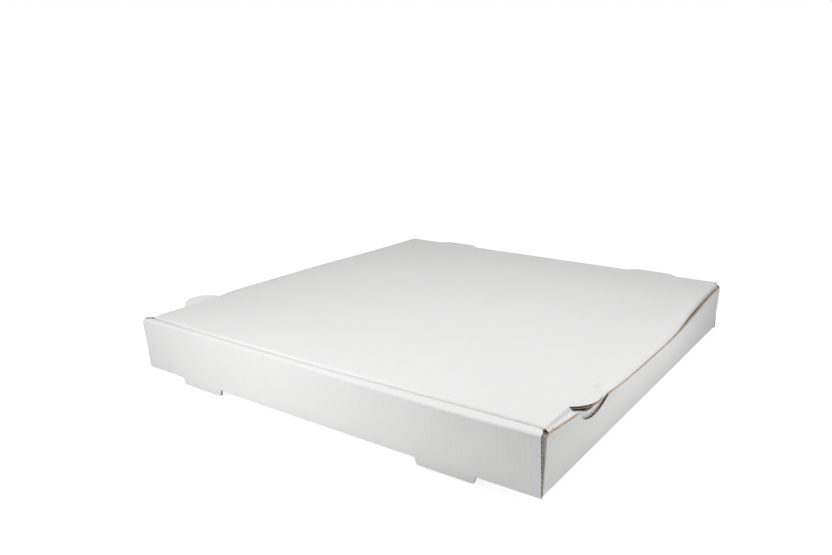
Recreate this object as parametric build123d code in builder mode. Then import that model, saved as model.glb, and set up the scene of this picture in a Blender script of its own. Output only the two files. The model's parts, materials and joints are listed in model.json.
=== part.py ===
from build123d import *
from math import atan, cos
import os

# A flat pizza box, folded from one sheet of corrugated board, shown with its lid shut.
# Both nodes share one frame: +X to the right, +Y to the back, +Z up, in millimetres.
# The origin lies on the surface that the box stands on, below the middle of its base.

# Outer sizes; the heights are counted from the underside of the base
box_width = 333.0
box_depth = 337.0
front_height = 38.9
side_height = 37.3
hinge_height = 40.9
lid_front_height = 39.7

# The board, its folds and the room left between its layers
board = 1.6
crease = 0.4
rub_gap = 0.3
lid_gap = 0.5
hinge_gap = 0.4

# How far the tops of the walls stand outside their feet
front_lean = 2.7
side_lean_front = 2.0
side_lean_middle = 8.7
side_lean_rear = 1.5
top_edge_dip = 0.9
# Where the side walls bulge: (share of the depth from the front, share of the full bulge)
side_bulge = ((0.06, 0.25), (0.23, 0.90), (0.42, 1.00), (0.60, 0.91), (0.77, 0.48), (0.90, 0.12))

# Roll-over front: the room over the corner flap, and the tabs that lock it in the base
wedge_gap = 1.3
lock_tab_width = 38.0

# Lugs of the front wall that reach below the base, and the slots they were cut from
lug_depth = 5.8
lug_width = 42.0
lug_tip_width = 39.0
lug_place = 105.5
lug_corner = 1.5

# Corner flaps of the side walls
front_flap_length = 60.0
rear_flap_length = 32.0
corner_flap_round = 6.0

# Half-moon finger grips: the tongue of the lid, its hole in the flap, the notch in the wall
grip_place = 51.1
grip_length = 35.2
tongue_reach = 11.3
grip_hole_depth = 8.0
notch_depth = 8.5

# Flaps of the lid
flap_clearance = 8.0
flap_front_slant = 2.4
flap_rear_slant = 9.0
flap_round = 8.0
front_flap_inset = 2.6
roll_flatness = 0.33
roll_fullness = 0.55

# Tabs on the rear edge of the lid, which stand out of slots in the back wall
tab_root_width = 50.0
tab_tip_width = 30.0
tab_depth = 6.0
tab_corner = 3.0
tab_gap = 0.5

# Places that follow from the sizes above
fold = board + crease
side = box_width / 2
front = -box_depth / 2
back = box_depth / 2
base = lug_depth
front_angle = atan(front_lean / front_height)

front_flap_foot = front + board + rub_gap
front_flap_head = front - front_lean + board + wedge_gap
inner_panel_foot = front_flap_foot + 2 * board + rub_gap
band_back = front_flap_head + 2 * board + rub_gap
inner_panel_middle = (inner_panel_foot + band_back) / 2
panel_foot = board + rub_gap
rear_flap_face = back - board - rub_gap
band_end = side - fold

hinge_y = back - board / 2
hinge_z = base + hinge_height - board / 2
hinge_reach = board / 2 + hinge_gap
lid_rear = hinge_y - hinge_reach
lid_front = band_back + rub_gap
lid_slope = (hinge_height - lid_front_height) / (lid_rear - lid_front)
lid_crease = side - board - lid_gap + side_lean_rear - fold


def left_and_right(*points):
    """A closed outline on the right half of a sketch, and its mirror image on the left half."""
    with BuildSketch() as outlines:
        with BuildLine():
            Polyline(*points, close=True)
        make_face()
        mirror(about=Plane.YZ)
    return outlines.sketch


def tapered_pair(root_width, tip_width, start, shoulder, tip):
    """Two lug outlines, left and right: straight from start to shoulder, then tapered to the tip."""
    root = root_width / 2
    end = tip_width / 2
    return left_and_right(
        (lug_place - root, start),
        (lug_place + root, start),
        (lug_place + root, shoulder),
        (lug_place + end, tip),
        (lug_place - end, tip),
        (lug_place - root, shoulder),
    )


def wall_lean(along, bulge):
    """Lean of a side wall's top at a share of the depth, with a share of the full bulge."""
    straight = side_lean_front + (side_lean_rear - side_lean_front) * along
    return straight + (side_lean_middle - straight) * bulge


def lid_top(y):
    """Height of the lid's upper face above the ground."""
    return base + hinge_height - lid_slope * (lid_rear - y)


# The sheet's run from front to back: inner front panel, band, front wall, base and back wall
with BuildPart() as run:
    with BuildSketch(Plane.YZ):
        with BuildLine():
            FilletPolyline(
                (inner_panel_middle, base + (panel_foot + front_height) / 2),
                (band_back, base + front_height),
                (front - front_lean, base + front_height),
                (front, base),
                (back, base),
                (back, hinge_z),
                radius=fold,
            )
            offset(amount=board, side=Side.LEFT)
        make_face()
    extrude(amount=side, both=True)

    # the rounded crease on which the lid turns
    with BuildSketch(Plane.YZ):
        with Locations((hinge_y, hinge_z)):
            Circle(board / 2)
    extrude(amount=side, both=True)

    # the base stops where the folds of the side walls begin
    with BuildSketch(Plane.XY.offset(base - board)):
        add(
            left_and_right(
                (band_end, front + fold),
                (side + board, front + fold),
                (side + board, back - fold),
                (band_end, back - fold),
            )
        )
    extrude(amount=2 * board + rub_gap / 2, mode=Mode.SUBTRACT)

    # the inner panel is shorter than the front wall, and the band's ends are rounded to it
    with BuildSketch(Plane.XY.offset(base + board + rub_gap / 2)):
        with BuildLine():
            Line((side + board, band_back - fold), (side, band_back - fold))
            CenterArc((band_end, band_back - fold), fold, 0, 90)
            Polyline(
                (band_end, band_back),
                (band_end, inner_panel_foot + board),
                (side + board, inner_panel_foot + board),
                (side + board, band_back - fold),
            )
        make_face()
        mirror(about=Plane.YZ)
    extrude(amount=front_height, mode=Mode.SUBTRACT)

    # slots in the base that the lugs leave
    slot_end = front + board + lug_depth
    with BuildSketch(Plane.XY.offset(base - board)):
        add(tapered_pair(lug_width, lug_tip_width, front - board, front + board, slot_end))
    extrude(amount=2 * board + rub_gap / 2, mode=Mode.SUBTRACT)

    # lugs in the plane of the front wall
    lug_end = -lug_depth / cos(front_angle)
    wall_plane = Plane(
        origin=(0, front, base), x_dir=(1, 0, 0), z_dir=(0, -front_height, -front_lean)
    )
    with BuildSketch(wall_plane) as lugs:
        add(tapered_pair(lug_width, lug_tip_width, 2 * fold, 0, lug_end))
        fillet(lugs.vertices().group_by(Axis.Y)[0], radius=lug_corner)
    extrude(amount=-board)

    # the lower half of the inner panel, with lock tabs that end flush under the base
    panel_rise = front_height - panel_foot
    panel_plane = Plane(
        origin=(0, inner_panel_foot, base + panel_foot),
        x_dir=(-1, 0, 0),
        z_dir=(0, panel_rise, inner_panel_foot - band_back),
    )
    with BuildSketch(panel_plane):
        with BuildLine():
            Polyline(
                (0, panel_rise / 2 + board),
                (band_end, panel_rise / 2 + board),
                (band_end, 0),
                (lug_place + lock_tab_width / 2, 0),
                (lug_place + lock_tab_width / 2, -panel_foot),
                (lug_place - lock_tab_width / 2, -panel_foot),
                (lug_place - lock_tab_width / 2, 0),
                (0, 0),
                close=True,
            )
        make_face()
        mirror(about=Plane.YZ)
    extrude(amount=-board)

    # slots in the top of the back wall for the tabs of the lid
    slot_root = tab_root_width + 2 * tab_gap
    slot_tip = tab_tip_width + 2 * tab_gap
    slot_shoulder = hinge_z - board / 2
    slot_floor = slot_shoulder - tab_depth - tab_gap
    with BuildSketch(Plane.XZ.offset(-back - board)):
        add(tapered_pair(slot_root, slot_tip, hinge_z + board, slot_shoulder, slot_floor))
    extrude(amount=3 * board, mode=Mode.SUBTRACT)


def side_ring(height, flap_face, lean_front, lean_rear, bulge):
    """Plan of the right side wall with its two corner flaps, at a height above the base."""
    front_x = side + lean_front
    rear_x = side + lean_rear
    fold_front = flap_face + fold
    fold_rear = rear_flap_face - fold
    tangents = ((0, 1), (0, 1))
    outer = [(front_x, fold_front), *bulge, (rear_x, fold_rear)]
    inner = [(x - board, y) for x, y in outer]
    with BuildSketch(Plane.XY.offset(base + height)) as ring:
        with BuildLine():
            Line((side - front_flap_length, flap_face), (front_x - fold, flap_face))
            CenterArc((front_x - fold, fold_front), fold, -90, 90)
            Spline(*outer, tangents=tangents)
            CenterArc((rear_x - fold, fold_rear), fold, 0, 90)
            Polyline(
                (rear_x - fold, rear_flap_face),
                (side - rear_flap_length, rear_flap_face),
                (side - rear_flap_length, rear_flap_face - board),
                (rear_x - fold, rear_flap_face - board),
            )
            CenterArc((rear_x - fold, fold_rear), crease, 0, 90)
            Spline(*inner, tangents=tangents)
            CenterArc((front_x - fold, fold_front), crease, -90, 90)
            Polyline(
                (front_x - fold, flap_face + board),
                (side - front_flap_length, flap_face + board),
                (side - front_flap_length, flap_face),
            )
        make_face()
    return ring.sketch


# Side walls: each leans out and bulges in the middle, and its ends are folded in as flaps
with BuildPart() as side_walls:
    foot_line = [(side, front + along * box_depth) for along, _ in side_bulge]
    head_line = [
        (side + wall_lean(along, bulge), front + along * box_depth) for along, bulge in side_bulge
    ]
    foot_ring = side_ring(fold, front_flap_foot, 0, 0, foot_line)
    head_ring = side_ring(
        side_height, front_flap_head, side_lean_front, side_lean_rear, head_line
    )
    loft([foot_ring, head_ring], ruled=True)

    # the fold between the base and the wall
    with BuildSketch(Plane.XZ.offset(fold - rear_flap_face)):
        with BuildLine():
            CenterArc((band_end, base + fold), fold, -90, 90)
            Line((side, base + fold), (side - board, base + fold))
            CenterArc((band_end, base + fold), crease, -90, 90)
            Line((band_end, base + board), (band_end, base))
        make_face()
    extrude(amount=rear_flap_face - front_flap_foot - 2 * fold)

    # the top edge dips as the wall leans out, and has the notch of the finger grip
    head = base + side_height
    dip_front = front + 3 * fold
    dip_rear = back - 3 * fold
    notch_front = front + grip_place - grip_length / 2
    notch_rear = front + grip_place + grip_length / 2
    with BuildSketch(Plane.YZ.offset(side - 2 * fold)):
        with BuildLine():
            ThreePointArc(
                (dip_front, head), ((dip_front + dip_rear) / 2, head - top_edge_dip), (dip_rear, head)
            )
            Polyline(
                (dip_rear, head),
                (dip_rear, head + board),
                (dip_front, head + board),
                (dip_front, head),
            )
        make_face()
        with BuildLine():
            ThreePointArc(
                (notch_front, head), (front + grip_place, head - notch_depth), (notch_rear, head)
            )
            Polyline(
                (notch_rear, head),
                (notch_rear, head + board),
                (notch_front, head + board),
                (notch_front, head),
            )
        make_face()
    extrude(amount=2 * fold + 2 * side_lean_middle, mode=Mode.SUBTRACT)

    # the front corner flap stays under the band
    with BuildSketch(Plane.XY.offset(base + front_height - board - rub_gap)):
        with Locations((side - front_flap_length - board, front - front_lean)):
            Rectangle(
                front_flap_length + 3 * fold,
                band_back - front + front_lean + rub_gap,
                align=(Align.MIN, Align.MIN),
            )
    extrude(amount=board, mode=Mode.SUBTRACT)

    # rounded free ends of the corner flaps
    flap_ends = side_walls.edges().filter_by(Axis.Y).filter_by(lambda edge: edge.length < fold)
    front_ends = flap_ends.group_by(Axis.X)[0]
    rear_ends = flap_ends.filter_by(lambda edge: edge.center().Y > 0).group_by(Axis.X)[0]
    fillet(front_ends + rear_ends, radius=corner_flap_round)

    mirror(about=Plane.YZ)

with BuildPart() as tray:
    add(run.part)
    add(side_walls.part)


# The lid's panel, with the front flap that goes down behind the roll-over front
with BuildPart() as lid_panel:
    with BuildSketch(Plane.YZ):
        with BuildLine():
            FilletPolyline(
                (lid_front + flap_front_slant, base + flap_clearance),
                (lid_front, base + lid_front_height),
                (lid_rear, base + hinge_height),
                radius=fold,
            )
            offset(amount=board, side=Side.RIGHT)
        make_face()
    extrude(amount=lid_crease, both=True)

    # the front flap is narrower than the panel, and its lower corners are rounded
    flap_half = lid_crease - front_flap_inset
    flap_head = base + lid_front_height - fold
    with BuildSketch(Plane.XZ.offset(-front)):
        add(
            left_and_right(
                (lid_crease + board, flap_head),
                (flap_half, flap_head),
                (flap_half - front_flap_inset, base),
                (lid_crease + board, base),
            )
        )
    extrude(amount=-lid_front + front - flap_front_slant - 2 * board, mode=Mode.SUBTRACT)
    flap_corners = lid_panel.edges().filter_by(
        lambda edge: edge.length < fold and edge.center().Z < base + flap_clearance + board
    )
    fillet(flap_corners, radius=flap_round)

    # finger tongues at the sides and tabs at the rear, in the plane of the panel
    top_plane = Plane(
        origin=(0, lid_rear, base + hinge_height), x_dir=(1, 0, 0), z_dir=(0, -lid_slope, 1)
    )
    tongue_middle = front + grip_place - lid_rear
    tab_end = back + tab_depth - lid_rear
    with BuildSketch(top_plane) as grips:
        with BuildLine():
            ThreePointArc(
                (lid_crease, tongue_middle - grip_length / 2),
                (lid_crease + tongue_reach, tongue_middle),
                (lid_crease, tongue_middle + grip_length / 2),
            )
            Polyline(
                (lid_crease, tongue_middle + grip_length / 2),
                (lid_crease - board, tongue_middle + grip_length / 2),
                (lid_crease - board, tongue_middle - grip_length / 2),
                (lid_crease, tongue_middle - grip_length / 2),
            )
        make_face()
        mirror(about=Plane.YZ)
    extrude(amount=-board)
    with BuildSketch(top_plane) as tabs:
        add(tapered_pair(tab_root_width, tab_tip_width, -board, 0, tab_end))
        fillet(tabs.vertices().group_by(Axis.Y)[-1], radius=tab_corner)
    extrude(amount=-board)


def flap_face(lean, z):
    """Outer face of the lid's right flap at a height, just inside a wall with this lean."""
    return side - board - lid_gap + lean * (z - base - fold) / (side_height - fold)


def flap_section(y, lean):
    """Section of the lid's right flap: a roll from the crease, then down inside the wall."""
    top = lid_top(y)
    foot = base + flap_clearance
    height = fold + roll_flatness * (lean - side_lean_rear)
    turn = top - height
    turn_x = flap_face(lean, turn)
    foot_x = flap_face(lean, foot)
    width = turn_x - lid_crease
    slope = (turn_x - foot_x) / (turn - foot)
    with BuildSketch(Plane.XZ.offset(-y)) as section:
        with BuildLine():
            Bezier(
                (lid_crease, top),
                (lid_crease + roll_fullness * width, top),
                (turn_x + slope * roll_fullness * height, turn + roll_fullness * height),
                (turn_x, turn),
            )
            Polyline(
                (turn_x, turn),
                (foot_x, foot),
                (foot_x - board, foot),
                (turn_x - board, turn),
            )
            width -= board
            height -= board
            Bezier(
                (turn_x - board, turn),
                (turn_x - board + slope * roll_fullness * height, turn + roll_fullness * height),
                (lid_crease + roll_fullness * width, top - board),
                (lid_crease, top - board),
            )
            Line((lid_crease, top - board), (lid_crease, top))
        make_face()
    return section.sketch


# Side flaps of the lid: each rolls over outwards and hangs inside the bulged side wall
with BuildPart() as lid_flaps:
    flap_start = lid_front + fold
    flap_stop = rear_flap_face - board - 2 * rub_gap
    loft(
        [
            flap_section(flap_start, side_lean_front),
            *[
                flap_section(front + along * box_depth, wall_lean(along, bulge))
                for along, bulge in side_bulge
            ],
            flap_section(flap_stop, side_lean_rear),
        ]
    )

    # the flap's outline seen from the side, with the hole that its tongue leaves
    flap_top = base + hinge_height + board
    flap_foot = base + flap_clearance
    hole_top = lid_top(front + grip_place) - board / 2
    with BuildSketch(Plane.YZ.offset(lid_crease - board)) as flap_outline:
        with BuildLine():
            Polyline(
                (flap_start, flap_top),
                (flap_start, hole_top),
                (flap_start + flap_front_slant, flap_foot),
                (flap_stop - flap_rear_slant, flap_foot),
                (flap_stop, hole_top),
                (flap_stop, flap_top),
                close=True,
            )
        make_face()
        fillet(flap_outline.vertices().group_by(Axis.Y)[0], radius=flap_round)
        with BuildLine():
            ThreePointArc(
                (notch_front, hole_top),
                (front + grip_place, hole_top - grip_hole_depth),
                (notch_rear, hole_top),
            )
            Polyline(
                (notch_rear, hole_top),
                (notch_rear, flap_top + board),
                (notch_front, flap_top + board),
                (notch_front, hole_top),
            )
        make_face(mode=Mode.SUBTRACT)
    extrude(amount=3 * fold + side_lean_middle, mode=Mode.INTERSECT)

    mirror(about=Plane.YZ)

with BuildPart() as lid:
    add(lid_panel.part)
    add(lid_flaps.part)


tray.part.label = "tray"
lid.part.label = "lid"

os.makedirs("parts", exist_ok=True)
export_step(tray.part, "parts/tray.step")
export_step(lid.part, "parts/lid.step")
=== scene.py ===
import json
from bisect import bisect_right
from math import atan2, cos, hypot, pi, radians, sin, tan

import bmesh
import bpy
from mathutils import Matrix, Vector, noise
from mathutils.geometry import interpolate_bezier


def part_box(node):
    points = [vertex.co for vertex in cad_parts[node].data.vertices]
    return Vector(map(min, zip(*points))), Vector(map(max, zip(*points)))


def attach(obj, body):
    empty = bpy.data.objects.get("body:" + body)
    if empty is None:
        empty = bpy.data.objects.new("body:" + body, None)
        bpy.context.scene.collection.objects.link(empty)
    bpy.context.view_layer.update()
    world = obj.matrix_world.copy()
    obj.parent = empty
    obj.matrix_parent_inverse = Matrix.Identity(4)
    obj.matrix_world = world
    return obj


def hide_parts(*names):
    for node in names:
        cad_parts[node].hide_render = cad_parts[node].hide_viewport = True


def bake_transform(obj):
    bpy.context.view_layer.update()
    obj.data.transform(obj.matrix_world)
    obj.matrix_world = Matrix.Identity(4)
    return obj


bl_info = {
    "name": "Folded pizza box",
    "version": (1, 0, 0),
    "blender": (4, 5, 0),
    "location": "View3D > Sidebar > Pizza box",
    "description": "Folds a flat pizza box from one die-cut sheet of white corrugated board",
    "category": "Object",
}

# The frame: the hinge's axis, the height of the base's underside and the back of the box
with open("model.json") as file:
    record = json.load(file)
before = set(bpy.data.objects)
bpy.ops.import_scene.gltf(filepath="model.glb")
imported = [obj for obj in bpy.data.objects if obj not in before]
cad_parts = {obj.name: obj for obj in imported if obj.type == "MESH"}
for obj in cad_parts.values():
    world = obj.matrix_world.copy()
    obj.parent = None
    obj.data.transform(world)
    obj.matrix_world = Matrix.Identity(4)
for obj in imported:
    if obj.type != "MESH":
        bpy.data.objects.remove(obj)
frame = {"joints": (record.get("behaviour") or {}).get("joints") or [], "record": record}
HINGE = Vector(frame["joints"][0]["pos_m"])
BASE = frame["record"]["mounts"][0]["pos_m"][2]
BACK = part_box("tray")[1].y

X_AXIS, Y_AXIS, Z_AXIS = Vector((1, 0, 0)), Vector((0, 1, 0)), Vector((0, 0, 1))
WHITE = (1, 1, 1)

# The UV maps, the record's material slot, and the order of the materials on a piece
FLAT_MAP = "flat"
CUT_MAP = "cut"
OUTER, INNER, LINER_EDGE, CORE = range(4)

# Small lengths, in metres
WELD = 0.00002  # points closer than this are one
RUB = 0.0003  # gap between layers of board that lie on each other
HEAD_ROOM = 0.0013  # room behind the front wall's top for the corner flaps
FLAP_GAP = 0.0005  # gap between a side wall and the lid's flap inside it
HINGE_GAP = 0.0004  # gap between the lid's panel and the hinge's fold
SLOT_ROOM = 0.0005  # room on each side of a tab in its slot
ROOT_ROUNDING = 0.0006  # rounding where a lug leaves the wall
TIP_ROUNDING = 0.001  # rounding of the tips of lugs and the floors of slots
FLAP_ROUNDING = 0.006  # rounding of the tray's corner flaps
LID_ROUNDING = 0.008  # rounding of the lid's flaps
TAB_ROUNDING = 0.003  # rounding of the lid's rear tabs
FLAP_SLANT = 0.0024  # how far the foot of the lid's front flap stands behind its head
FLAP_OVERHANG = 0.0024  # how far the lid's front flap reaches past the side creases
CREASE_DEPTH = 0.00025  # how deep the lid's side creases lie
FLAP_PUSH = 0.04  # length over which the front corner flaps lean forwards
CRUMPLE = 0.0016  # how far the left front corner's board is pushed up
TONGUE_SLIT = 0.0006  # gap at the rear end of a finger tongue

# Distances between the lines of the grids that the panels are cut into
ROW, COLUMN = 0.006, 0.009
FLAP_ROW, FLAP_COLUMN, SIDE_ROW = 0.008, 0.01, 0.005
FOLD_STEPS = 7
BOARD_SHARP, HINGE_SHARP = radians(35), radians(50)  # edges at least this steep look sharp

# How the board has warped: the bulge of a side wall as (share of the depth from the front, share of
# the full lean), and how far the front wall's top edge and the groove behind it are shifted to the
# rear, as (place from left to right, shift)
BULGE = (
    (0, 0), (0.06, 0.25), (0.23, 0.9), (0.42, 1), (0.6, 0.91), (0.77, 0.48), (0.9, 0.12), (1, 0),
)
FRONT_TOP = (
    (-0.166, 0.0), (-0.15, 0.0009), (-0.11, 0.0011), (-0.076, 0.0008), (0, -0.0003),
    (0.06, -0.0016), (0.092, -0.0022), (0.136, -0.0015), (0.166, -0.0004),
)
FRONT_GROOVE = (
    (-0.164, 0.0009), (-0.12, -0.0005), (-0.076, -0.0012), (0.0, -0.0012), (0.06, -0.0003),
    (0.101, 0.0007), (0.164, 0.0017),
)
FOOT_BOW = 0.0014
RIGHT_DROOP, LEFT_DROOP = 0.0013, 0.0004

# The finger tongues: the left one is bent up, and the right one rises a little
LEFT_TONGUE_BEND = radians(10)
RIGHT_TONGUE_SLOPE = 0.075

# Section of the hinge's fold, in halves of the board's thickness from the axis.
HINGE_SECTION = (
    (1, -2), (1, 0), (0.924, 0.383), (0.383, 0.924), (0, 1),
    (-2, 1), (-2, -1), (-1.65, -1.35), (-1.35, -1.65), (-1, -2),
)
TURN_BAND = 0.07


def size(name, value, description):
    """A length in metres that a user can set."""
    return bpy.props.FloatProperty(
        name=name, description=description, default=value, min=0.0, precision=4, unit="LENGTH"
    )


def paint(name, value, description):
    """A colour that a user can set."""
    return bpy.props.FloatVectorProperty(
        name=name, description=description, default=value, size=3, min=0.0, max=1.0, subtype="COLOR"
    )


class BoardSettings(bpy.types.PropertyGroup):
    """The corrugated board and its colours."""

    thickness: size("Thickness", 0.0016, "Thickness of the board")
    crease: size("Crease", 0.0004, "Inner radius of a fold")
    liner: size("Liner", 0.0003, "Thickness of the paper on each face")
    core_depth: size("Core depth", 0.0004, "How far the core stands back from a cut edge")
    flute_pitch: size("Flute pitch", 0.0033, "Distance from one flute to the next")
    knife_pitch: size("Knife pitch", 0.003, "Distance between the teeth of the cutting rule")
    white: paint("White liner", (0.86, 0.86, 0.855), "Colour of the outer paper")
    kraft: paint("Kraft liner", (0.36, 0.24, 0.145), "Colour of the inner paper")
    edge: paint("Cut edge", (0.6, 0.47, 0.36), "Colour of the cut paper edges")
    # The core colour is painted shade in the open flutes and gaps of a cut edge, and is also given
    # to the medium's paper
    core: paint("Core", (0.06, 0.024, 0.018), "Colour of the darkest paper in a cut edge")
    # The colour seen in the open flutes is painted shade inside them
    hollow: paint("Hollow", (0.2, 0.13, 0.095), "Colour seen in the open flutes of a cut edge")


class BoxSettings(bpy.types.PropertyGroup):
    """The sizes of the folded box; heights are counted from the underside of the base."""

    width: size("Width", 0.333, "Width of the base")
    depth: size("Depth", 2 * BACK, "Depth of the base")
    front_height: size("Front height", 0.0389, "Height of the front wall")
    side_height: size("Side height", 0.0373, "Height of the side walls")
    hinge_height: size("Hinge height", 0.0409, "Height of the lid's face at the hinge")
    lid_front_height: size("Lid front height", 0.0397, "Height of the lid's face at the front")
    front_lean: size("Front lean", 0.0027, "How far the front wall's top stands outwards")
    lean_front: size("Side lean, front", 0.002, "Lean of a side wall at its front end")
    lean_middle: size("Side lean, middle", 0.0087, "Lean of a side wall where it bulges most")
    lean_rear: size("Side lean, rear", 0.0015, "Lean of a side wall at its rear end")
    edge_dip: size("Edge dip", 0.0009, "How far the side wall's top edge sinks in the middle")
    front_flap: size("Front corner flap", 0.06, "Length of the corner flaps behind the front wall")
    rear_flap: size("Rear corner flap", 0.032, "Length of the corner flaps before the back wall")
    lug_place: size("Lug place", 0.1055, "Distance of the lugs from the middle")
    lug_width: size("Lug width", 0.042, "Width of a lug at its root")
    lug_tip: size("Lug tip", 0.039, "Width of a lug at its tip")
    lock_width: size("Lock tab width", 0.038, "Width of the tabs that lock the front panel")
    grip_place: size("Grip place", 0.0511, "Distance of the finger grips from the front")
    grip_length: size("Grip length", 0.0352, "Length of a finger grip along the wall")
    tongue_reach: size("Tongue reach", 0.0113, "How far the lid's tongues stand out")
    notch_depth: size("Notch depth", 0.0085, "Depth of the notch in a side wall")
    flap_width: size("Lid flap width", 0.0345, "Width of the lid's side flaps")
    flap_clearance: size("Flap clearance", 0.008, "Height of the lid's front flap above the base")
    tab_root: size("Rear tab root", 0.05, "Width of the lid's rear tabs at the hinge")
    tab_tip: size("Rear tab tip", 0.03, "Width of the lid's rear tabs at their tips")
    tab_depth: size("Rear tab depth", 0.006, "How far the lid's rear tabs stand out")


class StageSettings(bpy.types.PropertyGroup):
    """The studio: the camera's place and the strength of the lights."""

    camera_place: bpy.props.FloatVectorProperty(
        name="Camera place",
        description="Where the camera stands",
        default=(0.3172, -0.4793, 0.2194),
        subtype="XYZ",
        unit="LENGTH",
    )
    camera_turn: bpy.props.FloatProperty(
        name="Camera turn",
        description="Turn of the camera to the left of the box's depth",
        default=radians(33.91),
        subtype="ANGLE",
    )
    camera_dip: bpy.props.FloatProperty(
        name="Camera dip",
        description="How far the camera looks down",
        default=radians(15.85),
        subtype="ANGLE",
    )
    lens: bpy.props.FloatProperty(
        name="Lens", description="Focal length in millimetres", default=31.96, min=10.0
    )
    sky: bpy.props.FloatProperty(
        name="Sky", description="Strength of the even light from all sides", default=0.079, min=0.0
    )
    light: bpy.props.FloatProperty(
        name="Light", description="Strength of all soft lights together", default=1.0, min=0.0
    )


def new_sheet():
    """An empty sheet of board, whose flat coordinates are kept as its UV map."""
    sheet = bmesh.new()
    sheet.loops.layers.uv.new(FLAT_MAP)
    return sheet


def round_corner(before, corner, after, radius, steps):
    """Points on the arc that rounds a corner of a line, in order."""
    ahead = (corner - before).normalized()
    beyond = (after - corner).normalized()
    turn = ahead.angle(beyond)
    inward = (beyond - ahead * ahead.dot(beyond)).normalized()
    centre = corner - ahead * radius * tan(turn / 2) + inward * radius
    angles = [turn * step / steps for step in range(steps + 1)]
    return [centre + (ahead * sin(angle) - inward * cos(angle)) * radius for angle in angles]


def flattened(parts):
    """The corners of an outline in one list, from single corners and lists of them."""
    corners = []
    for part in parts:
        corners += part if isinstance(part, list) else [part]
    return corners


def both_ways(*parts):
    """Corners on the right half of an outline, and then their mirror images in reverse."""
    corners = flattened(parts)
    return [*corners, *[(-corner[0], *corner[1:]) for corner in reversed(corners)]]


def outline(*parts, steps=5):
    """A closed outline from corners (u, v), rounded corners (u, v, radius) and lists of them."""
    corners = flattened(parts)
    points = [Vector(corner[:2]) for corner in corners]
    rounded = []
    for index, corner in enumerate(corners):
        if len(corner) == 2:
            rounded.append(points[index])
            continue
        before, after = points[index - 1], points[(index + 1) % len(points)]
        rounded += round_corner(before, points[index], after, corner[2], steps)
    return rounded


def bow(start, end, depth, steps=16):
    """Points on the arc from start to end that stands out by depth to its right."""
    start, end = Vector(start), Vector(end)
    chord = end - start
    side = Vector((chord.y, -chord.x)).normalized()
    radius = (chord.length**2 / 4 + depth**2) / (2 * depth)
    centre = (start + end) / 2 + side * (depth - radius)
    half = atan2(chord.length / 2, radius - depth)
    ahead = chord.normalized()
    angles = [half * (2 * step / steps - 1) for step in range(steps + 1)]
    return [centre + (side * cos(angle) + ahead * sin(angle)) * radius for angle in angles]


def smooth_through(stations, place):
    """Height at a place of a smooth line through stations (place, height), level at its ends."""
    places = [station[0] for station in stations]
    heights = [station[1] for station in stations]
    if place <= places[0]:
        return heights[0]
    if place >= places[-1]:
        return heights[-1]
    slopes = [0.0]
    for index in range(1, len(places) - 1):
        run = places[index + 1] - places[index - 1]
        slopes.append((heights[index + 1] - heights[index - 1]) / run)
    slopes.append(0.0)
    index = bisect_right(places, place) - 1
    run = places[index + 1] - places[index]
    t = (place - places[index]) / run
    before = heights[index] * (1 + 2 * t) * (1 - t) ** 2 + slopes[index] * run * t * (1 - t) ** 2
    after = heights[index + 1] * t**2 * (3 - 2 * t) - slopes[index + 1] * run * t**2 * (1 - t)
    return before + after


def between(low, high, value):
    """How far a value has come from low to high, from 0 to 1, with soft ends."""
    share = min(max((value - low) / (high - low), 0.0), 1.0)
    return share * share * (3 - 2 * share)


def spread(low, high, step):
    """Places from low to high, a step apart or a little less."""
    count = max(round((high - low) / step), 1)
    return [low + (high - low) * index / count for index in range(count + 1)]


class Line:
    """A line of points in a plane, read by the length along it."""

    def __init__(self, points):
        self.points = points
        self.lengths = [0.0]
        for start, end in zip(points, points[1:]):
            self.lengths.append(self.lengths[-1] + (end - start).length)
        self.total = self.lengths[-1]

    def at(self, length):
        """The point at a length from the start; the line goes straight on past its ends."""
        index = min(max(bisect_right(self.lengths, length) - 1, 0), len(self.points) - 2)
        start, end = self.points[index], self.points[index + 1]
        return start + (end - start) * ((length - self.lengths[index]) / (end - start).length)


class Profile(Line):
    """The outer line of a folded sheet seen from its end, with the lengths where its folds lie."""

    def __init__(self, corners, radius):
        corners = [Vector(corner) for corner in corners]
        points = [corners[0]]
        folds = []
        for before, corner, after in zip(corners, corners[1:], corners[2:]):
            folds.append((len(points), len(points) + FOLD_STEPS))
            points += round_corner(before, corner, after, radius, FOLD_STEPS)
        super().__init__([*points, corners[-1]])
        self.folds = [(self.lengths[start], self.lengths[end]) for start, end in folds]


def cut_panel(edge, across, along):
    """A flat panel of board with this outline, cut into a grid by lines across and along it."""
    panel = bmesh.new()
    face = panel.faces.new([panel.verts.new((u, v, 0)) for u, v in edge])
    face.normal_update()
    if face.normal.z < 0:
        face.normal_flip()
    for direction, lines in ((X_AXIS, across), (Y_AXIS, along)):
        for line in lines:
            bmesh.ops.bisect_plane(
                panel,
                geom=[*panel.verts, *panel.edges, *panel.faces],
                dist=WELD / 4,
                plane_co=direction * line,
                plane_no=direction,
            )
    return panel


def lay(sheet, panel, place, flat, flip):
    """Folds a flat panel to its place in the sheet, with its place in the flat blank as its map."""
    layer = panel.loops.layers.uv.new(FLAT_MAP)
    for face in panel.faces:
        for loop in face.loops:
            loop[layer].uv = flat(*loop.vert.co.xy)
    for vert in panel.verts:
        vert.co = place(*vert.co.xy)
    if flip:
        bmesh.ops.reverse_faces(panel, faces=panel.faces)
    mesh = bpy.data.meshes.new("panel")
    panel.to_mesh(mesh)
    panel.free()
    sheet.from_mesh(mesh)
    bpy.data.meshes.remove(mesh)


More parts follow.
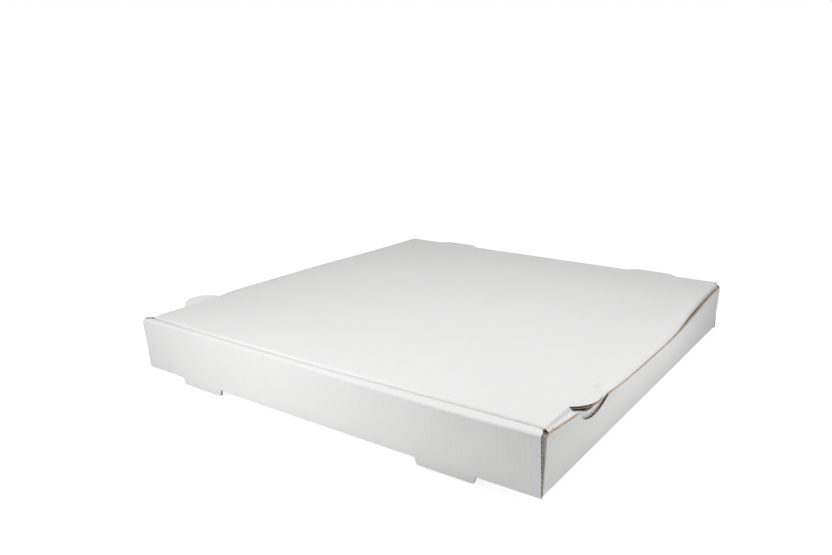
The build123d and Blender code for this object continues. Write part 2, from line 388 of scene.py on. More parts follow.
class Box:
    """The places on the folded box that follow from its sizes, in metres."""

    def __init__(self, scene):
        board, sizes = scene.board_settings, scene.box_settings
        self.sizes = sizes
        self.board = board.thickness
        self.fold = board.thickness + board.crease
        self.corner = 0.3 * self.fold
        self.side = sizes.width / 2
        self.front = BACK - sizes.depth
        self.foot_end = self.side - self.fold
        self.wall_top = BASE + sizes.front_height
        self.panel_lift = self.board + RUB
        self.flap_foot = self.front + self.board + RUB
        self.flap_head = self.front - sizes.front_lean + self.board + HEAD_ROOM
        self.rear_flap_face = BACK - self.board - RUB
        self.panel_foot = self.flap_foot + 2 * self.board + RUB
        self.band_back = self.flap_head + 2 * self.board + RUB
        self.lid_front = self.band_back + RUB
        self.lid_rear = HINGE.y - self.board / 2 - HINGE_GAP
        self.hinge_half = self.board / 2
        climb = sizes.hinge_height - sizes.lid_front_height
        self.slope = climb / (self.lid_rear - self.lid_front)
        self.flap_face = self.side - self.board - FLAP_GAP
        self.lid_crease = self.flap_face + sizes.lean_rear - self.fold
        self.flap_stop = self.rear_flap_face - self.board - 2 * RUB
        self.grip_front = self.front + sizes.grip_place - sizes.grip_length / 2
        self.grip_rear = self.grip_front + sizes.grip_length
        ends = (self.flap_foot + self.fold, self.rear_flap_face - self.fold)
        self.depth_lines = spread(*ends, ROW)

    def lid_top(self, y):
        """Height of the lid's upper face."""
        return BASE + self.sizes.hinge_height - self.slope * (self.lid_rear - y)

    def lean(self, y):
        """How far the top of a side wall stands outside its foot."""
        sizes = self.sizes
        share = (y - self.front) / sizes.depth
        straight = sizes.lean_front + (sizes.lean_rear - sizes.lean_front) * share
        return straight + (sizes.lean_middle - straight) * smooth_through(BULGE, share)

    def flap_lean(self, y):
        """Lean of a lid's side flap, which hangs free of the bulged wall in its rear half."""
        rear = 0.8 * self.sizes.lean_rear
        slack = 0.33 * between(0.0, 0.12, y)
        return rear + (self.lean(y) - rear) * (1 - slack)

    def dip(self, y):
        """How far the side wall's top edge has sunk."""
        share = min(max((y - self.front) / self.sizes.depth, 0), 1)
        return self.sizes.edge_dip * sin(pi * share)

    def droop(self, x, y):
        """How far the lid has sunk about its front corners."""
        reach = hypot(self.lid_crease + 0.002 - abs(x), self.lid_front - y)
        depth = RIGHT_DROOP if x > 0 else LEFT_DROOP
        return depth * between(0.012, 0.001, reach)

    def settle(self, point):
        """Moves a point of the true box to where the bowed front of the real one has it."""
        top = smooth_through(FRONT_TOP, point.x)
        groove = smooth_through(FRONT_GROOVE, point.x)
        foot = -FOOT_BOW * (1 - min(abs(point.x) / self.side, 1) ** 2)
        near = between(self.front + 0.075, self.front, point.y)
        inside = between(self.front - self.sizes.front_lean, self.band_back, point.y)
        rise = min(max((point.z - BASE) / self.sizes.front_height, 0), 1)
        shift = foot + (top + (groove - top) * inside - foot) * rise
        return point + Y_AXIS * shift * near


def fold_front(sheet, box):
    """The inner front panel, the roll-over band and the front wall with its two lugs."""
    sizes = box.sizes
    run = tray_run(box)
    columns = spread(-box.foot_end, box.foot_end, COLUMN)
    foot = run.folds[2][0]
    roll_start, roll_end = run.folds[0]
    lug, tip, lock = sizes.lug_width / 2, sizes.lug_tip / 2, sizes.lock_width / 2
    lug_end = foot + BASE / cos(atan2(sizes.front_lean, sizes.front_height))
    corners = [
        (sizes.lug_place - lock, 0),
        (sizes.lug_place - lock, -box.panel_lift),
        (sizes.lug_place + lock, -box.panel_lift),
        (sizes.lug_place + lock, 0),
        (box.foot_end, 0),
        # The end of the rolled band, which narrows towards the inner panel
        (box.foot_end, roll_start - 0.008),
        (box.side - 0.0062, roll_start - 0.002),
        (box.side - 0.005, roll_start + 0.0008, TIP_ROUNDING),
        (box.side - 0.0028, roll_end - 0.0006, TIP_ROUNDING),
        (box.side, run.folds[1][0]),
        (box.side, foot),
        (sizes.lug_place + lug + ROOT_ROUNDING, foot),
        (sizes.lug_place + lug, foot + ROOT_ROUNDING),
        (sizes.lug_place + tip, lug_end, TIP_ROUNDING),
        (sizes.lug_place - tip, lug_end, TIP_ROUNDING),
        (sizes.lug_place - lug, foot + ROOT_ROUNDING),
        (sizes.lug_place - lug - ROOT_ROUNDING, foot),
    ]
    rows = [length for length in run.lengths if length < foot]
    rows += spread(run.folds[1][1], foot, ROW) + spread(0, roll_start, FLAP_ROW)
    panel = cut_panel(outline(both_ways(corners)), columns, rows + [foot])
    steep = run.at(foot) - run.at(foot - box.fold)

    def place(u, v):
        y, z = run.at(v) if v <= foot else run.at(foot) + steep * (v - foot) / box.fold
        return box.settle(Vector((u, y, z)))

    lay(sheet, panel, place, lambda u, v: (u, v - run.folds[2][1]), True)


def tray_run(box):
    """Section of the tray from the inner front panel over the band and the base to the back."""
    sizes = box.sizes
    return Profile(
        [
            (box.panel_foot, BASE + box.panel_lift),
            (box.band_back, box.wall_top),
            (box.front - sizes.front_lean, box.wall_top),
            (box.front, BASE),
            (BACK, BASE),
            (BACK, HINGE.z - 2 * box.hinge_half),
        ],
        box.fold,
    )


def fold_base(sheet, box):
    """The base with its lug slots, and the back wall with the slots for the lid's rear tabs."""
    sizes = box.sizes
    run = tray_run(box)
    columns = spread(-box.foot_end, box.foot_end, COLUMN)
    start, front_fold = run.folds[2]
    back_fold, wall = run.folds[3]
    slot, slot_tip = sizes.lug_width / 2 + ROOT_ROUNDING, sizes.lug_tip / 2
    slot_end = front_fold + box.board + BASE - box.fold
    root_tip = sizes.tab_tip / 2 + SLOT_ROOM
    slot_depth = sizes.tab_depth - box.board + SLOT_ROOM / 5
    slot_flare = (sizes.tab_root - sizes.tab_tip) / 2 * slot_depth / (slot_depth + box.board)
    root = root_tip + slot_flare
    corners = [
        (sizes.lug_place - slot, start),
        (sizes.lug_place - slot + ROOT_ROUNDING, start + ROOT_ROUNDING),
        (sizes.lug_place - slot_tip, slot_end),
        (sizes.lug_place + slot_tip, slot_end),
        (sizes.lug_place + slot - ROOT_ROUNDING, start + ROOT_ROUNDING),
        (sizes.lug_place + slot, start),
        (box.side, start),
        (box.side, front_fold),
        (box.foot_end, front_fold),
        (box.foot_end, back_fold),
        (box.side, back_fold),
        (box.side, run.total),
        (sizes.lug_place + root, run.total),
        (sizes.lug_place + root_tip, run.total - slot_depth, TIP_ROUNDING),
        (sizes.lug_place - root_tip, run.total - slot_depth, TIP_ROUNDING),
        (sizes.lug_place - root, run.total),
    ]
    shift = front_fold - box.front - box.fold
    rows = [length for length in run.lengths if start < length < run.total]
    rows += [y + shift for y in box.depth_lines] + spread(wall, run.total, ROW)[1:-1]
    panel = cut_panel(outline(both_ways(corners)), columns, rows)

    def place(u, v):
        return box.settle(Vector((u, *run.at(v))))

    lay(sheet, panel, place, lambda u, v: (u, v - front_fold), True)


def fold_side(sheet, box, hand):
    """A side wall, its fold to the base and its two corner flaps; hand is 1 right or -1 left."""
    sizes = box.sizes
    ring = Profile(
        [
            (box.side - sizes.front_flap, box.flap_foot),
            (box.side, box.flap_foot),
            (box.side, box.rear_flap_face),
            (box.side - sizes.rear_flap, box.rear_flap_face),
        ],
        box.corner,
    )
    start, stop = ring.folds[0][1], ring.folds[1][0]
    height = sizes.side_height - box.fold
    arc = box.fold * pi / 2
    to_ring = start - box.flap_foot - box.corner
    notch_ends = (box.grip_front + to_ring, height), (box.grip_rear + to_ring, height)
    flap_top = sizes.front_height - box.board - RUB - box.fold
    edge = outline(
        (0, 0, FLAP_ROUNDING),
        (start, 0),
        (start, -arc),
        (stop, -arc),
        (stop, 0),
        (ring.total, 0, FLAP_ROUNDING),
        (ring.total, height, FLAP_ROUNDING),
        (ring.folds[1][1], height),
        bow(*notch_ends, sizes.notch_depth)[::-1],
        (start, height),
        (ring.folds[0][0], flap_top),
        (0, flap_top, FLAP_ROUNDING),
    )
    along = ring.lengths[1:-1] + [y + to_ring for y in box.depth_lines]
    along += spread(0, ring.folds[0][0], FLAP_COLUMN)[1:-1]
    along += spread(ring.folds[1][1], ring.total, FLAP_COLUMN)[1:-1]
    across = [-arc * step / FOLD_STEPS for step in range(1, FOLD_STEPS)]
    across += spread(0, height, SIDE_ROW)[:-1]
    panel = cut_panel(edge, along, across)

    def place(s, h):
        x, y = ring.at(s)
        if h < 0:
            turn = -h / arc * pi / 2
            x = box.foot_end + box.fold * cos(turn)
            z = BASE + box.fold * (1 - sin(turn))
        else:
            share = h / height
            rear = between(box.front, BACK, y) > 0.5
            lean = sizes.lean_rear if rear else sizes.lean_front
            if start <= s <= stop:
                lean = box.lean(y)
            near = between(box.front + FLAP_PUSH, box.flap_foot, y)
            forward = (box.flap_head - box.flap_foot) * near
            from_corner = box.side - x + abs(y - box.flap_foot)
            rise = CRUMPLE * between(0.006, 0.001, from_corner) * (hand < 0)
            x += lean * share
            y += forward * share
            z = BASE + box.fold + h + (rise - box.dip(y)) * share
        return box.settle(Vector((hand * x, y, z)))

    def flat(s, h):
        return hand * (box.side + h), s - to_ring - box.front

    lay(sheet, panel, place, flat, hand < 0)


def fold_lid_panel(sheet, box):
    """The lid's panel with its front flap, its finger tongues and its rear tabs."""
    sizes = box.sizes
    lid_end = HINGE.y - 2 * box.hinge_half
    profile = Profile(
        [
            (box.lid_front + FLAP_SLANT, BASE + sizes.flap_clearance),
            (box.lid_front, BASE + sizes.lid_front_height),
            (lid_end, box.lid_top(lid_end)),
        ],
        box.fold,
    )
    head, start = profile.folds[0]
    to_profile = profile.total - lid_end
    crease = box.lid_crease
    flap = crease + FLAP_OVERHANG
    grip_front, grip_rear = box.grip_front + to_profile, box.grip_rear + to_profile
    tongue_ends = (crease, grip_front), (crease, grip_rear - TONGUE_SLIT)
    tab_start = box.lid_rear + to_profile
    tab_end = BACK + sizes.tab_depth + to_profile
    tip, root = sizes.tab_tip / 2, sizes.tab_root / 2
    edge = both_ways(
        (flap - 0.006, 0, LID_ROUNDING),
        (flap - 0.001, head - 0.006),
        (flap, head - 0.0004),
        (crease, head),
        bow(*tongue_ends, sizes.tongue_reach),
        (crease, profile.total),
        (sizes.lug_place + root, profile.total),
        (sizes.lug_place + root, tab_start),
        (sizes.lug_place + tip, tab_end, TAB_ROUNDING),
        (sizes.lug_place - tip, tab_end, TAB_ROUNDING),
        (sizes.lug_place - root, tab_start),
        (sizes.lug_place - root, profile.total),
    )
    rows = [length for length in profile.lengths if head <= length < profile.total]
    rows += [y + to_profile for y in box.depth_lines if y < lid_end and y + to_profile > start]
    rows += spread(0, head, FLAP_ROW)[1:-1] + [tab_start]
    columns = spread(-crease, crease, COLUMN)
    for beside in (-0.0021, -0.0014, -0.0007, 0.004):
        columns += [crease + beside, -crease - beside]
    panel = cut_panel(outline(edge), columns, rows)

    def place(u, v):
        y, z = profile.at(v)
        left = max(-crease - u, 0)
        lift = LEFT_TONGUE_BEND * between(0, 0.004, left)
        x = u + left * (1 - cos(lift))
        z += left * sin(lift) + RIGHT_TONGUE_SLOPE * max(u - crease, 0)
        crease_start = grip_rear - (0.0023 if left > 0 else 0)
        if start < v and not grip_front < v < crease_start:
            z -= CREASE_DEPTH * between(0.0021, 0.0, crease - abs(u))
        return lid_waver(box, box.settle(Vector((x, y, z))))

    lay(sheet, panel, place, lambda u, v: (u, v - start), False)


def lid_waver(box, point):
    """Moves a point of the lid up or down as the slack board does."""
    inland = between(box.front, box.front + 0.05, point.y) * between(BACK, BACK - 0.05, point.y)
    wave = noise.noise(Vector((point.x * 9, point.y * 9, 0.3)))
    return point + Z_AXIS * (0.0005 * wave * inland - box.droop(point.x, point.y))


def flap_line(box, y):
    """Section of the lid's right flap, which rolls over the wall's edge and hangs inside it."""
    sizes = box.sizes
    lean = box.flap_lean(y)
    top = box.lid_top(y)
    wall = BASE + sizes.side_height - box.dip(y) + box.droop(box.lid_crease, y)
    wall_height = sizes.side_height - box.fold

    def face(z):
        """Place of the flap's outer face where it hangs inside the wall."""
        return box.flap_face + lean * (z - BASE - box.fold) / wall_height

    # Near the front corner the flap falls steeply from its crease; further back it is level first
    steep = between(box.front + 0.084, box.front + 0.06, y)

    def either(level, falling):
        """A value that goes from that of the level part to that of the steep one."""
        return level + (falling - level) * steep

    height = top - wall
    width = face(wall) - box.lid_crease
    swell = min(0.0013, 0.4 * height) * between(0.12, 0.0, y)
    slope = either(0.12, 1.2)
    flat = max(width - 1.8 * height, 0.45 * width)
    bend = either(0.5, 0.2) * (width - flat)
    shoulder = max(top - slope * flat, wall + 0.02 * height)
    crease = [(0, CREASE_DEPTH), (0.0007, 0.00022), (0.0014, 0.0001 + 0.0014 * slope)]
    crease = [Vector((box.lid_crease + x, top - z)) for x, z in crease if x < 0.8 * flat]
    controls = (
        (box.lid_crease + flat, shoulder),
        (box.lid_crease + flat + bend, max(shoulder - slope * bend, wall + 0.05 * height)),
        (face(wall) + either(1.3, 0) * swell, wall + either(0.6, 0.1) * height),
        (face(wall) + either(1, 0.3) * swell, wall + either(0.0001, -0.0007)),
    )
    roll = interpolate_bezier(*[Vector((x, z, 0)) for x, z in controls], 14)
    inside = (
        Vector((face(wall) + either(0.0003, 0), wall - either(0, 0.0011))),
        Vector((face(wall), wall - either(0.0007, 0.0015))),
        Vector((face(BASE), BASE)),
    )
    return Line([*crease, *[point.xy for point in roll], *inside])


def fold_lid_flap(sheet, box, hand):
    """A side flap of the lid, with the hole that its finger tongue leaves."""
    sizes = box.sizes
    start = box.lid_front + 0.0004
    edge = outline(
        (start, 0),
        (start, 0.006),
        (start + FLAP_SLANT, sizes.flap_width, LID_ROUNDING),
        (box.flap_stop - 0.009, sizes.flap_width, LID_ROUNDING),
        (box.flap_stop, 0.006),
        (box.flap_stop, 0),
        bow((box.grip_rear, 0), (box.grip_front, 0), sizes.tongue_reach),
    )
    along = [y for y in box.depth_lines if start < y < box.flap_stop]
    across = spread(0, 0.014, 0.0007)[1:] + [0.02, 0.027]
    panel = cut_panel(edge, along, across)
    lines = {}

    def place(y, s):
        key = round(y, 6)
        if key not in lines:
            lines[key] = flap_line(box, y)
        x, z = lines[key].at(s)
        return lid_waver(box, box.settle(Vector((hand * x, y, z))))

    def flat(y, s):
        return hand * (box.lid_crease + s), y - box.front

    lay(sheet, panel, place, flat, hand > 0)


def shown(name, mesh, materials):
    """A new object for a mesh, in the scene."""
    piece = bpy.data.objects.new(name, mesh)
    bpy.context.scene.collection.objects.link(piece)
    for material in materials:
        mesh.materials.append(material)
    return piece


def map_cuts(bm, rim):
    """Maps each cut edge: how deep a point lies in the board, and if the cut follows the flutes."""
    flat = bm.loops.layers.uv[FLAT_MAP]
    cut = bm.loops.layers.uv.new(CUT_MAP)
    outside = {vert for face in bm.faces if face.material_index == OUTER for vert in face.verts}
    for face in rim:
        reach = Vector((0, 0))
        for loop in face.loops:
            run = loop.link_loop_next[flat].uv - loop[flat].uv
            reach += Vector((abs(run.x), abs(run.y)))
        for loop in face.loops:
            depth = 0.0 if loop.vert in outside else 1.0
            loop[cut].uv = (depth, reach.y / max(reach.x + reach.y, WELD))


def thicken(sheet, name, board):
    """Turns a folded sheet into a piece of corrugated board whose cut edges show its core."""
    bmesh.ops.remove_doubles(sheet, verts=sheet.verts, dist=WELD)
    mesh = bpy.data.meshes.new(name + "_face")
    sheet.to_mesh(mesh)
    sheet.free()
    draft = shown(name + "_face", mesh, board_materials())
    solid = draft.modifiers.new("board", "SOLIDIFY")
    solid.thickness = board.thickness
    solid.offset = -1
    solid.use_even_offset = True
    solid.use_quality_normals = True
    solid.material_offset = INNER
    solid.material_offset_rim = LINER_EDGE
    graph = bpy.context.evaluated_depsgraph_get()
    mesh = bpy.data.meshes.new_from_object(draft.evaluated_get(graph))
    bpy.data.objects.remove(draft)
    mesh.name = name
    bm = bmesh.new()
    bm.from_mesh(mesh)
    rim = [face for face in bm.faces if face.material_index == LINER_EDGE]
    map_cuts(bm, rim)
    for thickness, depth in ((board.liner, 0), (WELD, -board.core_depth)):
        bmesh.ops.inset_region(bm, faces=rim, thickness=thickness, depth=depth, use_boundary=True)
        for face in rim:
            face.material_index = CORE
    for face in bm.faces:
        face.smooth = True
    bm.to_mesh(mesh)
    bm.free()
    mesh.set_sharp_from_angle(angle=BOARD_SHARP)
    piece = bpy.data.objects.new(name, mesh)
    bpy.context.scene.collection.objects.link(piece)
    return piece


class Nodes:
    """The nodes of a material or of the sky, added one by one."""

    def __init__(self, tree):
        self.nodes = tree.nodes
        self.links = tree.links

    def join(self, target, value):
        """Links a value to a socket, or sets the socket to it."""
        if isinstance(value, Value):
            self.links.new(value.socket, target)
        elif target.type == "RGBA":
            target.default_value = (*value, 1)
        else:
            target.default_value = value

    def node(self, kind, settings, inputs, output=0):
        """Adds a node with its settings and its inputs by name or index, and gives one output."""
        node = self.nodes.new(kind)
        for name, value in settings.items():
            setattr(node, name, value)
        for name, value in inputs.items():
            self.join(node.inputs[name], value)
        return Value(self, node.outputs[output])

    def mix(self, share, first, second):
        """A colour between two others."""
        settings = {"data_type": "RGBA", "clamp_factor": True}
        return self.node("ShaderNodeMix", settings, {0: share, 6: first, 7: second}, 2)

    def tint(self, shade, colour):
        """A colour made darker by a shade."""
        grey = self.node("ShaderNodeCombineColor", {}, {0: shade, 1: shade, 2: shade})
        settings = {"operation": "MULTIPLY"}
        return self.node("ShaderNodeVectorMath", settings, {0: grey, 1: tuple(colour)})

    def noise(self, place, scale, detail=3.0):
        """Smooth random values from 0 to 1."""
        inputs = {"Vector": place, "Scale": scale, "Detail": detail}
        return self.node("ShaderNodeTexNoise", {}, inputs)

    def spot(self, place, scale, output):
        """The distance to the nearest of many scattered spots, or a colour of its own for each."""
        return self.node("ShaderNodeTexVoronoi", {}, {"Vector": place, "Scale": scale}, output)

    def map_place(self, name):
        """Where a point lies in a UV map: across, along, and both as a vector."""
        place = self.node("ShaderNodeUVMap", {"uv_map": name}, {})
        split = (self.node("ShaderNodeSeparateXYZ", {}, {0: place}, axis) for axis in (0, 1))
        return *split, place

    def step(self, value, low, high):
        """0 below low and 1 above high, with a soft climb between."""
        settings = {"interpolation_type": "SMOOTHSTEP"}
        inputs = {"Value": value, "From Min": low, "From Max": high}
        return self.node("ShaderNodeMapRange", settings, inputs)

    def bump(self, height, strength, distance):
        """A normal tilted by a height."""
        inputs = {"Height": height, "Strength": strength, "Distance": distance}
        return self.node("ShaderNodeBump", {}, inputs)


class Finish(Nodes):
    """A material and its nodes."""

    def __init__(self, name):
        self.material = bpy.data.materials.new(name)
        self.material.use_nodes = True
        super().__init__(self.material.node_tree)

    def finish(self, inputs):
        """Sets the main shader's sockets, and gives the material."""
        for name, value in inputs.items():
            self.join(self.nodes["Principled BSDF"].inputs[name], value)
        return self.material


class Value:
    """A number in a material, on which Python's operators add Math nodes."""

    def __init__(self, tree, socket):
        self.tree = tree
        self.socket = socket

    def math(self, operation, *others, swap=False):
        """The outcome of a Math node on this value and others."""
        values = [*others, self] if swap else [self, *others]
        return self.tree.node("ShaderNodeMath", {"operation": operation}, dict(enumerate(values)))

    def __add__(self, other):
        return self.math("ADD", other)

    def __sub__(self, other):
        return self.math("SUBTRACT", other)

    def __rsub__(self, other):
        return self.math("SUBTRACT", other, swap=True)

    def __mul__(self, other):
        return self.math("MULTIPLY", other)

    __radd__ = __add__
    __rmul__ = __mul__

    def sine(self):
        return self.math("SINE")

    def absolute(self):
        return self.math("ABSOLUTE")


def white_liner(board):
    """White outer paper: faint washboard lines of the flutes, fibre mottling and a few specks."""
    finish = Finish("white_liner")
    across, along, place = finish.map_place(FLAT_MAP)
    flutes = (across * (2 * pi / board.flute_pitch)).sine()
    patches = finish.noise(place, 18.0, 2.0)
    fibres = finish.noise(place, 900.0, 4.0)
    stretched = finish.node("ShaderNodeCombineXYZ", {}, {0: across * 420, 1: along * 14})
    streaks = finish.noise(stretched, 1.0, 2.0)
    shade = 0.97 + patches * 0.03 + (fibres - 0.5) * 0.03 + flutes * 0.006 + (streaks - 0.5) * 0.03
    # Specks: a small dot at some of the scattered spots
    dots = finish.step(finish.spot(place, 34.0, "Distance"), 0.022, 0.012)
    lot = finish.node("ShaderNodeSeparateColor", {}, {0: finish.spot(place, 34.0, "Color")})
    specks = dots * finish.step(lot, 0.7, 0.71)
    relief = flutes * 0.02 + fibres * 0.01 + patches * 0.06 + streaks * 0.01
    return finish.finish({
        "Base Color": finish.mix(specks * 0.12, finish.tint(shade, board.white), (0.35, 0.33, 0.3)),
        "Roughness": 0.62 + fibres * 0.12,
        "Specular IOR Level": 0.3,
        "Normal": finish.bump(relief, 0.7, 0.001),
    })


def kraft_liner(board):
    """Brown inner paper, with long fibres and the flutes showing through."""
    finish = Finish("kraft_liner")
    across, _, place = finish.map_place(FLAT_MAP)
    flutes = (across * (2 * pi / board.flute_pitch)).sine()
    patches = finish.noise(place, 14.0, 3.0)
    fibres = finish.noise(place, 700.0, 5.0)
    shade = 0.86 + patches * 0.16 + (fibres - 0.5) * 0.3 + flutes * 0.02
    return finish.finish({
        "Base Color": finish.tint(shade, board.kraft),
        "Roughness": 0.72,
        "Normal": finish.bump(flutes * 0.03 + fibres * 0.02, 0.6, 0.001),
    })


def cut_edge(board):
    """The cut edge of the paper liners."""
    finish = Finish("cut_edge")
    place = finish.node("ShaderNodeUVMap", {"uv_map": FLAT_MAP}, {})
    fuzz = finish.noise(place, 1500.0, 3.0)
    pale = tuple(0.55 * channel + 0.4 for channel in board.edge)
    return finish.finish({
        "Base Color": finish.mix(fuzz, tuple(board.edge), pale),
        "Roughness": 0.85,
        "Normal": finish.bump(fuzz, 0.4, 0.0003),
    })


def open_core(board):
    """The core in a cut edge: the medium's wave over painted shade in the flutes, or dashes of
    painted shade where the knife's teeth left it open.
    """
    finish = Finish("open_core")
    across, along, place = finish.map_place(FLAT_MAP)
    depth, follows, _ = finish.map_place(CUT_MAP)
    edge, core, hollow = tuple(board.edge), tuple(board.core), tuple(board.hollow)
    phase = across * (2 * pi / board.flute_pitch)
    medium = finish.step((depth - 0.5 - phase.sine() * 0.26).absolute(), 0.17, 0.10)
    teeth = (along * (2 * pi / board.knife_pitch)).sine()
    uneven = finish.noise(place, 160.0, 2.0)
    # Where the cut is open it shows as dashes of painted shade in the core colour
    openness = teeth - 0.6 - (phase + pi / 2).sine() * 0.6 + (uneven - 0.5) * 1.4
    dashed = finish.mix(finish.step(openness, -0.2, 0.2), edge, core)
    # Across the flutes: the medium's wave in the core colour, with painted shade of the hollow
    # flutes between
    waved = finish.mix(medium, hollow, core)
    colour = finish.mix(finish.step(follows, 0.55, 0.9), waved, dashed)
    return finish.finish({"Base Color": colour, "Roughness": 0.9})


def board_materials():
    """The four materials of the board, made once."""
    makers = (white_liner, kraft_liner, cut_edge, open_core)
    board = bpy.context.scene.board_settings
    return [bpy.data.materials.get(make.__name__) or make(board) for make in makers]


class FoldTray(bpy.types.Operator):
    """Folds the lower part of the sheet: base, walls, roll-over front and corner flaps."""

    bl_idname = "pizza_box.fold_tray"
    bl_label = "Fold the tray"

    def execute(self, context):
        box = Box(context.scene)
        sheet = new_sheet()
        fold_front(sheet, box)
        fold_base(sheet, box)
        fold_side(sheet, box, 1)
        fold_side(sheet, box, -1)
        tray = thicken(sheet, "tray_board", context.scene.board_settings)
        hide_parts("tray")
        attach(tray, "tray")
        return {"FINISHED"}


class FoldLid(bpy.types.Operator):
    """Folds the lid: its panel, its flaps, its finger tongues and its rear tabs."""

    bl_idname = "pizza_box.fold_lid"
    bl_label = "Fold the lid"

    def execute(self, context):
        box = Box(context.scene)
        sheet = new_sheet()
        fold_lid_panel(sheet, box)
        fold_lid_flap(sheet, box, 1)
        fold_lid_flap(sheet, box, -1)
        lid = thicken(sheet, "lid_board", context.scene.board_settings)
        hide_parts("lid")
        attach(lid, "lid")
        return {"FINISHED"}


class FoldHinge(bpy.types.Operator):
    """Makes the scored fold on which the lid turns, between the slots of the rear tabs."""

    bl_idname = "pizza_box.fold_hinge"
    bl_label = "Fold the hinge"

    def execute(self, context):
        box = Box(context.scene)
        half = box.hinge_half
        tabs = box.sizes.tab_root / 2
        place = box.sizes.lug_place
        end = box.side - box.fold
        spans = ((-end, -place - tabs), (-place + tabs, place - tabs), (place + tabs, end))
        section = [(HINGE.y + half * y, HINGE.z + half * z) for y, z in HINGE_SECTION]
        bm = new_sheet()
        for start, stop in spans:
            face = bm.faces.new([bm.verts.new((start, y, z)) for y, z in section])
            made = bmesh.ops.extrude_face_region(bm, geom=[face])["geom"]
            moved = [item for item in made if isinstance(item, bmesh.types.BMVert)]
            bmesh.ops.translate(bm, verts=moved, vec=X_AXIS * (stop - start))
        bmesh.ops.recalc_face_normals(bm, faces=bm.faces)
        layer = bm.loops.layers.uv[FLAT_MAP]
        for face in bm.faces:
            middle = face.calc_center_median() - HINGE
            inner = middle.y + middle.z < -half
            face.material_index = INNER if inner else OUTER
            if abs(face.normal.x) > 0.5:
                face.material_index = LINER_EDGE
            face.smooth = True
            for loop in face.loops:
                x, y, z = loop.vert.co
                loop[layer].uv = (x, box.sizes.depth + z - y)
        mesh = bpy.data.meshes.new("hinge_fold")
        bm.to_mesh(mesh)
        bm.free()
        mesh.set_sharp_from_angle(angle=HINGE_SHARP)
        fold = shown("hinge_fold", mesh, board_materials())
        reach = Vector((0, -half, half)) * TURN_BAND
        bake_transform(fold)
        return {"FINISHED"}


# Soft lights: name, place, target, width and power in watts
LIGHTS = (
    ("overhead_back", (-0.2, 0.1, 0.7), (0.0, 0.05, 0.04), 0.4, 1.565),
    ("overhead_front", (0.15, -0.15, 0.6), (0.05, -0.05, 0.04), 0.3, 1.88),
    ("front", (-0.06, -0.42, 0.15), (-0.07, -0.17, 0.02), 0.15, 0.45),
    ("right", (0.45, -0.02, 0.15), (0.17, -0.02, 0.03), 0.2, 0.37),
)

FLOOR_REACH = 3.0
SENSOR_WIDTH = 36.0
CAMERA_SHIFT = (-0.0395, 0.0112)


def add_light(name, place, target, width, power):
    """A square soft light that points at a target."""
    data = bpy.data.lights.new(name, "AREA")
    data.energy = power
    data.size = width
    lamp = bpy.data.objects.new(name, data)
    lamp.location = place
    lamp.rotation_euler = (Vector(target) - Vector(place)).to_track_quat("-Z", "Y").to_euler()
    bpy.context.scene.collection.objects.link(lamp)


def floor_material():
    """Pale floor that shows white where it is lit, and from below isn't seen."""
    finish = Finish("studio_floor")
    rays = ("Is Camera Ray", "Is Glossy Ray", "Is Transmission Ray")
    camera, glossy, passing = (finish.node("ShaderNodeLightPath", {}, {}, name) for name in rays)
    seen = camera.math("MAXIMUM", glossy).math("MAXIMUM", passing)
    place = finish.node("ShaderNodeTexCoord", {}, {}, "Object")
    distance = finish.node("ShaderNodeVectorMath", {"operation": "LENGTH"}, {0: place}, "Value")
    strength = 0.88 + finish.step(distance, 0.3, 0.7) * 0.12
    glow = finish.node("ShaderNodeEmission", {}, {"Color": WHITE, "Strength": strength})
    lit = finish.node("ShaderNodeBsdfDiffuse", {}, {"Color": (0.33, 0.33, 0.33)})
    bright = finish.node("ShaderNodeAddShader", {}, {0: glow, 1: lit})
    plain = finish.node("ShaderNodeBsdfDiffuse", {}, {"Color": (0.9, 0.9, 0.9)})
    above = finish.node("ShaderNodeMixShader", {}, {0: seen, 1: plain, 2: bright})
    below = finish.node("ShaderNodeNewGeometry", {}, {}, "Backfacing")
    clear = finish.node("ShaderNodeBsdfTransparent", {}, {})
    surface = finish.node("ShaderNodeMixShader", {}, {0: below, 1: above, 2: clear})
    finish.join(finish.nodes["Material Output"].inputs["Surface"], surface)
    return finish.material


def studio_sky(strength):
    """Even light from all sides, with a white background."""
    world = bpy.data.worlds.new("studio_sky")
    world.use_nodes = True
    sky = Nodes(world.node_tree)
    light = sky.node("ShaderNodeBackground", {}, {"Color": WHITE, "Strength": strength})
    white = sky.node("ShaderNodeBackground", {}, {"Color": WHITE, "Strength": 1.0})
    seen = sky.node("ShaderNodeLightPath", {}, {}, "Is Camera Ray")
    surface = sky.node("ShaderNodeMixShader", {}, {0: seen, 1: light, 2: white})
    sky.join(sky.nodes["World Output"].inputs["Surface"], surface)
    sky.nodes.remove(sky.nodes["Background"])
    return world


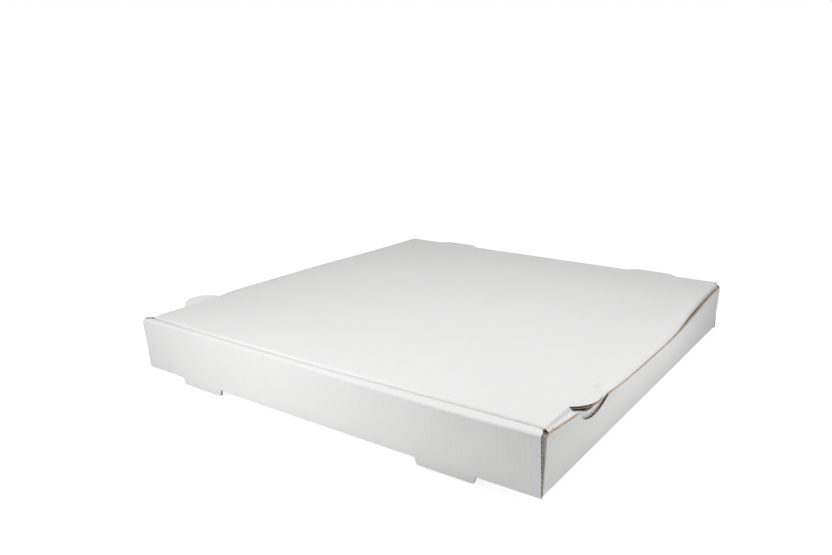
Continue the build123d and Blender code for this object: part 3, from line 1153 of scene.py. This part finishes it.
class SetStage(bpy.types.Operator):
    """Sets up the floor, the soft light and the camera."""

    bl_idname = "pizza_box.set_stage"
    bl_label = "Set the stage"

    def execute(self, context):
        scene = context.scene
        stage = scene.stage_settings
        box = Box(scene)
        bm = bmesh.new()
        bmesh.ops.create_grid(bm, x_segments=1, y_segments=1, size=FLOOR_REACH)
        # The box rests on its lugs and its rear edge, so the floor leans to match
        lean = Matrix.Rotation(atan2(BASE, box.sizes.depth), 4, "X")
        bmesh.ops.transform(bm, matrix=Matrix.Translation((0, box.front, 0)) @ lean, verts=bm.verts)
        mesh = bpy.data.meshes.new("studio_floor")
        bm.to_mesh(mesh)
        bm.free()
        shown("studio_floor", mesh, [floor_material()])

        scene.world = studio_sky(stage.sky)
        for name, place, target, width, power in LIGHTS:
            add_light(name, place, target, width, power * stage.light)

        data = bpy.data.cameras.new("photo_camera")
        data.lens = stage.lens
        data.sensor_width = SENSOR_WIDTH
        data.shift_x, data.shift_y = CAMERA_SHIFT
        camera = bpy.data.objects.new("photo_camera", data)
        camera.location = stage.camera_place
        camera.rotation_euler = (pi / 2 - stage.camera_dip, 0, stage.camera_turn)
        scene.collection.objects.link(camera)
        scene.camera = camera
        scene.view_settings.view_transform = "Standard"
        return {"FINISHED"}


class BoxPanel(bpy.types.Panel):
    """Lists the steps and settings in the sidebar of the 3D view."""

    bl_idname = "VIEW3D_PT_pizza_box"
    bl_label = "Pizza box"
    bl_space_type = "VIEW_3D"
    bl_region_type = "UI"
    bl_category = "Pizza box"

    def draw(self, context):
        for step in STEPS:
            self.layout.operator(step.bl_idname)
        for name, group in GROUPS.items():
            settings = getattr(context.scene, name)
            for key in group.__annotations__:
                self.layout.prop(settings, key)


STEPS = (FoldTray, FoldLid, FoldHinge, SetStage)
GROUPS = {
    "board_settings": BoardSettings,
    "box_settings": BoxSettings,
    "stage_settings": StageSettings,
}


def register():
    for item in (*GROUPS.values(), *STEPS, BoxPanel):
        bpy.utils.register_class(item)
    for name, group in GROUPS.items():
        setattr(bpy.types.Scene, name, bpy.props.PointerProperty(type=group))


def unregister():
    for name in GROUPS:
        delattr(bpy.types.Scene, name)
    for item in reversed((*GROUPS.values(), *STEPS, BoxPanel)):
        bpy.utils.unregister_class(item)


def main():
    """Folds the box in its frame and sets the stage."""
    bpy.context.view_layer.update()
    register()
    bpy.ops.pizza_box.fold_tray()
    bpy.ops.pizza_box.fold_lid()
    bpy.ops.pizza_box.fold_hinge()
    bpy.ops.pizza_box.set_stage()


if __name__ == "__main__":
    main()
